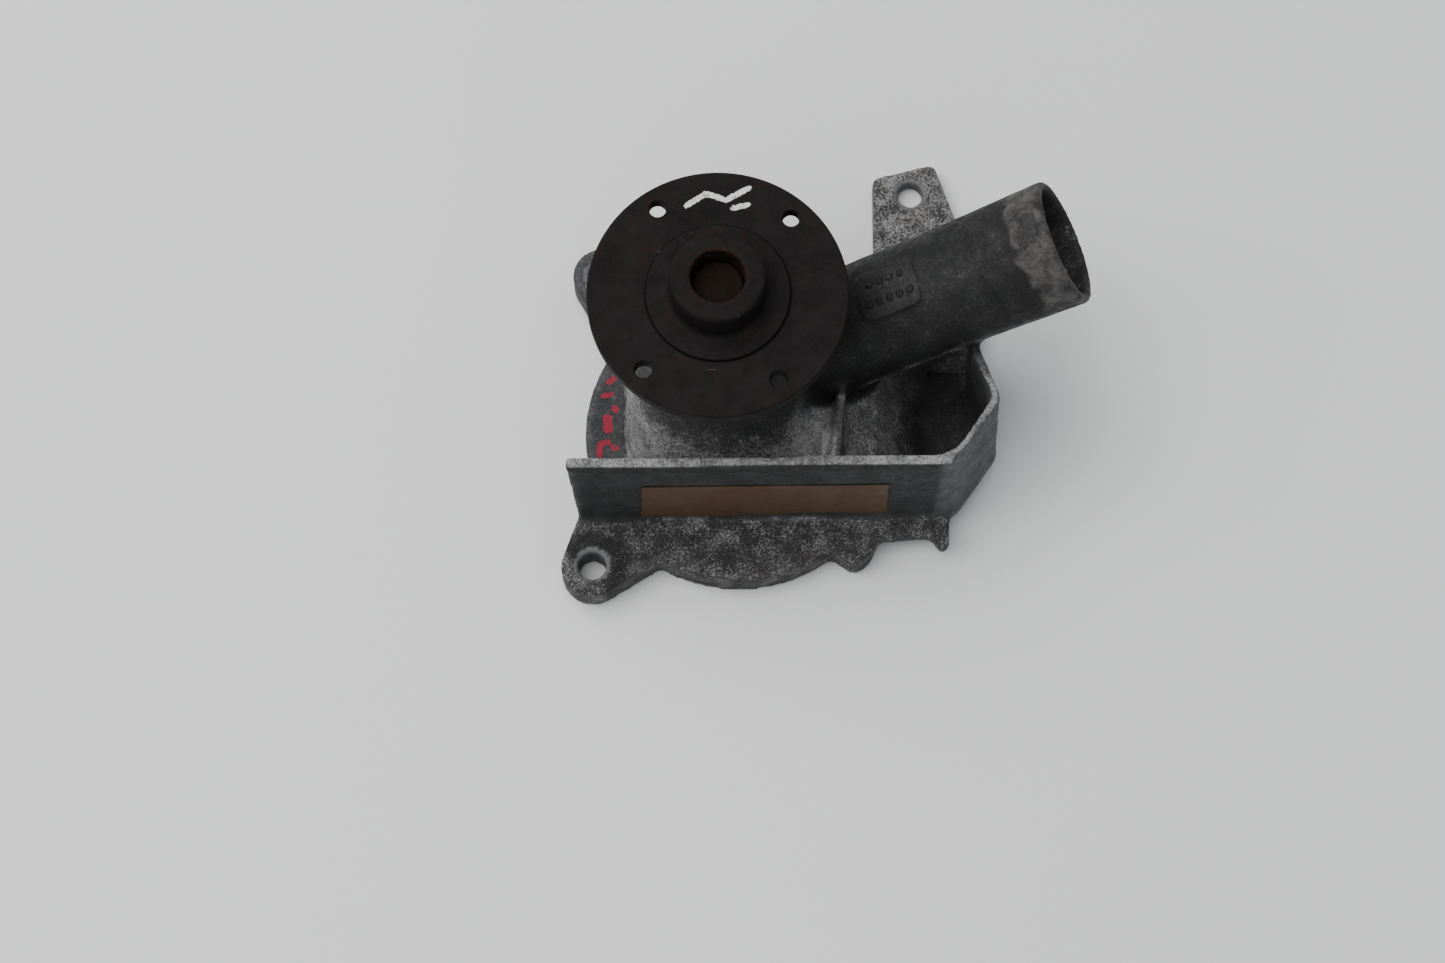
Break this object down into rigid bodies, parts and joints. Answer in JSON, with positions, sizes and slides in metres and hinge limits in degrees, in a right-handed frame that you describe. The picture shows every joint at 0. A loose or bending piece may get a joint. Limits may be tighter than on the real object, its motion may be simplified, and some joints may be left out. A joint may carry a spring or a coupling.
{
  "type": "water pump",
  "caption": "Engine coolant pump: cast housing with a slanted hose neck and bolt lugs, a round pulley flange on a bearing shaft, a mechanical seal and an impeller.",
  "frame": {"origin": "centre of the shaft's rear end, which lies in the housing's mounting plane", "axes": "+Z along the shaft towards the pulley flange; +X towards the hose neck; -Y towards the skirt wall"},
  "size_m": [0.1643, 0.1498, 0.1075],
  "materials": {
    "casting": "dull, corroded as-cast",
    "flange_steel": "dark oxidised, slightly rusty",
    "shaft_steel": "rusty ground end",
    "bearing_steel": "ground",
    "ball_steel": "polished",
    "cage_plastic": "moulded",
    "seal_rubber": "matte",
    "slinger_steel": "pressed",
    "cup_brass": "pressed",
    "spring_steel": "drawn wire",
    "carbon": "lapped",
    "ceramic": "lapped",
    "impeller_iron": "cast, rusty"
  },
  "bodies": {
    "housing": {"pump_body": "casting", "bearing_outer_ring": "bearing_steel", "bearing_seal_front": "seal_rubber", "bearing_seal_rear": "seal_rubber", "seal_cup": "cup_brass", "seal_bellows": "seal_rubber", "seal_spring": "spring_steel"},
    "rotor": {"bearing_shaft": "shaft_steel", "hub_flange": "flange_steel", "water_slinger": "slinger_steel", "impeller": "impeller_iron", "seat_rubber_cup": "seal_rubber", "seal_ceramic_seat": "ceramic"},
    "front_ball_train": {"ball_cage_front": "cage_plastic", "ball_front_1": "ball_steel", "ball_front_2": "ball_steel", "ball_front_3": "ball_steel", "ball_front_4": "ball_steel", "ball_front_5": "ball_steel", "ball_front_6": "ball_steel", "ball_front_7": "ball_steel", "ball_front_8": "ball_steel"},
    "rear_ball_train": {"ball_cage_rear": "cage_plastic", "ball_rear_1": "ball_steel", "ball_rear_2": "ball_steel", "ball_rear_3": "ball_steel", "ball_rear_4": "ball_steel", "ball_rear_5": "ball_steel", "ball_rear_6": "ball_steel", "ball_rear_7": "ball_steel", "ball_rear_8": "ball_steel"},
    "seal_ring": {"seal_carbon_ring": "carbon"}
  },
  "joints": [
    {"name": "rotor_spin", "type": "hinge", "parent": "housing", "child": "rotor", "pos_m": [0, 0, 0.05945], "axis": [0, 0, 1], "continuous": true},
    {"name": "front_balls_spin", "type": "hinge", "parent": "housing", "child": "front_ball_train", "pos_m": [0, 0, 0.06845], "axis": [0, 0, 1], "continuous": true},
    {"name": "rear_balls_spin", "type": "hinge", "parent": "housing", "child": "rear_ball_train", "pos_m": [0, 0, 0.05045], "axis": [0, 0, 1], "continuous": true},
    {"name": "seal_float", "type": "slide", "parent": "housing", "child": "seal_ring", "axis": [0, 0, 1], "range_m": [0, 0.0012], "stiffness_N_per_m": 800, "springref_m": -0.003, "deforming": ["seal_spring", "seal_bellows"]}
  ],
  "couplings": [
    {"joint": "front_balls_spin", "follows": "rotor_spin", "ratio": 0.35233},
    {"joint": "rear_balls_spin", "follows": "rotor_spin", "ratio": 0.35233}
  ]
}
